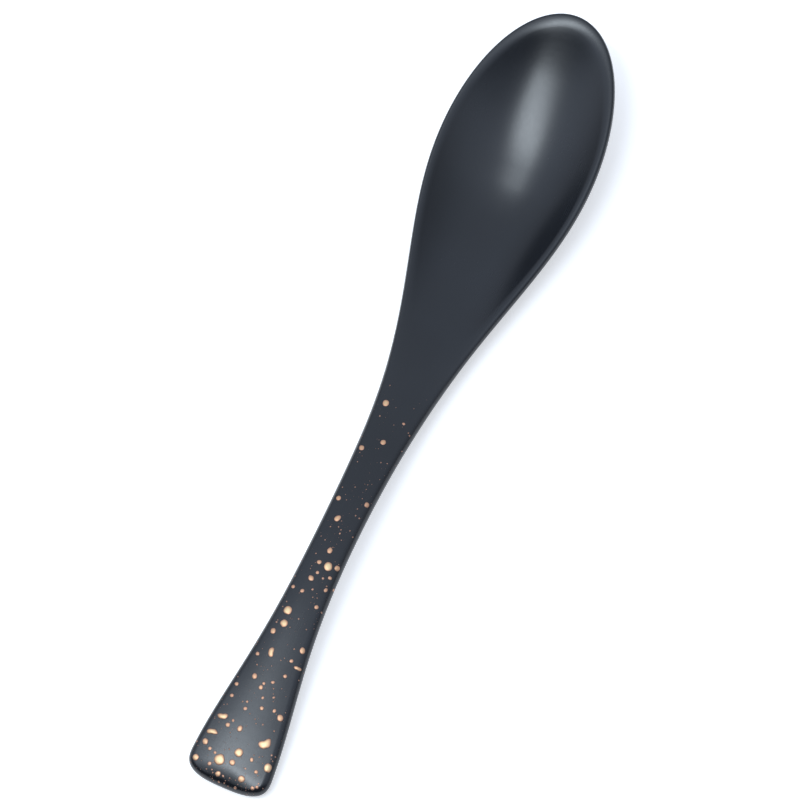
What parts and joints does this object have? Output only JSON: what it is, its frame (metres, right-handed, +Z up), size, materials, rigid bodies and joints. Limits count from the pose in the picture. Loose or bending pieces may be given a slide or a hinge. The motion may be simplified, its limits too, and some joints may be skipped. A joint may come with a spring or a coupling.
{
  "type": "painted lacquer spoon",
  "caption": "Long eating spoon with an egg-shaped bowl, narrow waist and flared handle, black lacquer over wood with copper-gold paint spatter on the handle.",
  "frame": {"origin": "centre of the outline at table height", "axes": "+X along the spoon from the handle end to the bowl tip, +Y to the left, +Z up out of the bowl"},
  "size_m": [0.195, 0.0392, 0.0165],
  "materials": {
    "wood": "bare close-grained wood",
    "lacquer": "black lacquer, satin gloss",
    "gold_paint": "copper-gold metallic paint"
  },
  "bodies": {
    "root": {"wood_core": "wood", "lacquer_front": "lacquer", "lacquer_back": "lacquer", "gold_fleck_01": "gold_paint", "gold_fleck_02": "gold_paint", "gold_fleck_03": "gold_paint", "gold_fleck_04": "gold_paint", "gold_fleck_05": "gold_paint", "gold_fleck_06": "gold_paint", "gold_fleck_07": "gold_paint", "gold_fleck_08": "gold_paint", "gold_fleck_09": "gold_paint", "gold_fleck_10": "gold_paint", "gold_fleck_11": "gold_paint", "gold_fleck_12": "gold_paint", "gold_fleck_13": "gold_paint", "gold_fleck_14": "gold_paint", "gold_fleck_15": "gold_paint", "gold_fleck_16": "gold_paint", "gold_fleck_17": "gold_paint", "gold_fleck_18": "gold_paint", "gold_fleck_19": "gold_paint", "gold_fleck_20": "gold_paint", "gold_fleck_21": "gold_paint", "gold_fleck_22": "gold_paint", "gold_fleck_23": "gold_paint", "gold_fleck_24": "gold_paint", "gold_fleck_25": "gold_paint", "gold_fleck_26": "gold_paint", "gold_fleck_27": "gold_paint", "gold_fleck_28": "gold_paint", "gold_fleck_29": "gold_paint", "gold_fleck_30": "gold_paint", "gold_fleck_31": "gold_paint", "gold_fleck_32": "gold_paint", "gold_fleck_33": "gold_paint", "gold_fleck_34": "gold_paint", "gold_fleck_35": "gold_paint", "gold_fleck_36": "gold_paint", "gold_fleck_37": "gold_paint", "gold_fleck_38": "gold_paint", "gold_fleck_39": "gold_paint", "gold_fleck_40": "gold_paint", "gold_fleck_41": "gold_paint", "gold_fleck_42": "gold_paint", "gold_fleck_43": "gold_paint", "gold_fleck_44": "gold_paint", "gold_fleck_45": "gold_paint", "gold_fleck_46": "gold_paint", "gold_fleck_47": "gold_paint", "gold_fleck_48": "gold_paint", "gold_fleck_49": "gold_paint", "gold_fleck_50": "gold_paint", "gold_fleck_51": "gold_paint", "gold_fleck_52": "gold_paint"}
  },
  "joints": []
}
